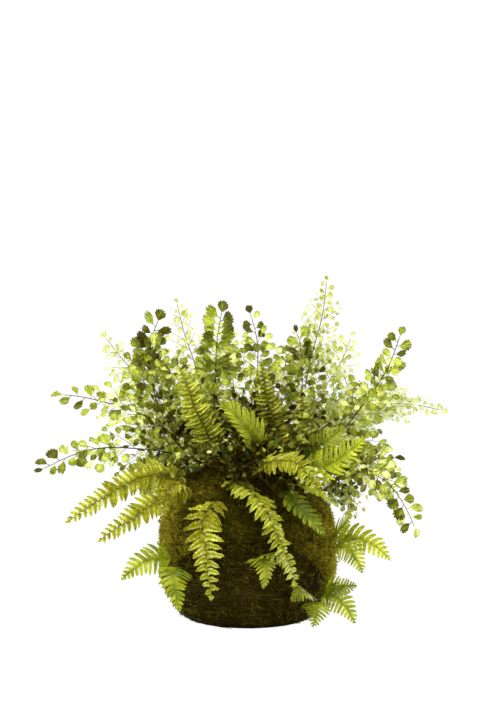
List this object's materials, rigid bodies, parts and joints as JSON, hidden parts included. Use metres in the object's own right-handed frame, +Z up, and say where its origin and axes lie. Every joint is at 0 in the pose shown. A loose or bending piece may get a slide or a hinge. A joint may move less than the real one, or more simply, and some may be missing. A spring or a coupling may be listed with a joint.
{
  "type": "fern in twig basket",
  "caption": "Mixed maidenhair, sword and leather ferns spreading from a mossy mound in a squat round basket wound from twigs and rootlets.",
  "frame": {"origin": "centre of the basket's flat base, on the surface it stands on, on the basket's upright axis", "axes": "+Z up along the basket's axis, -Y towards the viewer of its front, +X to that viewer's right, the way the fronds spread widest"},
  "size_m": [0.5008, 0.3478, 0.4082],
  "materials": {
    "twigs": "matte bark of fine wound twigs and rootlets",
    "moss": "deep fuzzy olive sheet moss",
    "liner": "moulded black grower's liner",
    "soil": "moist crumbly potting mix of peat and composted bark",
    "maidenhair_leaf": "soft matte fan-shaped leaflets on dark wiry stalks",
    "fine_maidenhair_leaf": "thin translucent pale leaflets on fine stalks",
    "sword_fern_leaf": "satin ruffled yellow-green leaflets",
    "leather_fern_leaf": "satin leathery bright green lobed blades"
  },
  "bodies": {
    "root": {"fine_maidenhair_frond_01": "fine_maidenhair_leaf", "fine_maidenhair_frond_02": "fine_maidenhair_leaf", "fine_maidenhair_frond_03": "fine_maidenhair_leaf", "fine_maidenhair_frond_04": "fine_maidenhair_leaf", "fine_maidenhair_frond_05": "fine_maidenhair_leaf", "fine_maidenhair_frond_06": "fine_maidenhair_leaf", "fine_maidenhair_frond_07": "fine_maidenhair_leaf", "fine_maidenhair_frond_08": "fine_maidenhair_leaf", "fine_maidenhair_frond_09": "fine_maidenhair_leaf", "leather_fern_frond_01": "leather_fern_leaf", "leather_fern_frond_02": "leather_fern_leaf", "leather_fern_frond_03": "leather_fern_leaf", "leather_fern_frond_04": "leather_fern_leaf", "leather_fern_frond_05": "leather_fern_leaf", "leather_fern_frond_06": "leather_fern_leaf", "leather_fern_frond_07": "leather_fern_leaf", "leather_fern_frond_08": "leather_fern_leaf", "leather_fern_frond_09": "leather_fern_leaf", "leather_fern_frond_10": "leather_fern_leaf", "leather_fern_frond_11": "leather_fern_leaf", "leather_fern_frond_12": "leather_fern_leaf", "leather_fern_frond_13": "leather_fern_leaf", "leather_fern_frond_14": "leather_fern_leaf", "leather_fern_frond_15": "leather_fern_leaf", "leather_fern_frond_16": "leather_fern_leaf", "leather_fern_frond_17": "leather_fern_leaf", "leather_fern_frond_18": "leather_fern_leaf", "maidenhair_frond_01": "maidenhair_leaf", "maidenhair_frond_02": "maidenhair_leaf", "maidenhair_frond_03": "maidenhair_leaf", "maidenhair_frond_04": "maidenhair_leaf", "maidenhair_frond_05": "maidenhair_leaf", "maidenhair_frond_06": "maidenhair_leaf", "maidenhair_frond_07": "maidenhair_leaf", "maidenhair_frond_08": "maidenhair_leaf", "maidenhair_frond_09": "maidenhair_leaf", "maidenhair_frond_10": "maidenhair_leaf", "maidenhair_frond_11": "maidenhair_leaf", "maidenhair_frond_12": "maidenhair_leaf", "maidenhair_frond_13": "maidenhair_leaf", "maidenhair_frond_14": "maidenhair_leaf", "maidenhair_frond_15": "maidenhair_leaf", "maidenhair_frond_16": "maidenhair_leaf", "moss_mound": "moss", "moss_wrap": "moss", "pot_liner": "liner", "potting_soil": "soil", "sword_fern_frond_01": "sword_fern_leaf", "sword_fern_frond_02": "sword_fern_leaf", "sword_fern_frond_03": "sword_fern_leaf", "sword_fern_frond_04": "sword_fern_leaf", "sword_fern_frond_05": "sword_fern_leaf", "sword_fern_frond_06": "sword_fern_leaf", "sword_fern_frond_07": "sword_fern_leaf", "sword_fern_frond_08": "sword_fern_leaf", "sword_fern_frond_09": "sword_fern_leaf", "sword_fern_frond_10": "sword_fern_leaf", "sword_fern_frond_11": "sword_fern_leaf", "sword_fern_frond_12": "sword_fern_leaf", "twig_basket": "twigs"}
  },
  "joints": []
}
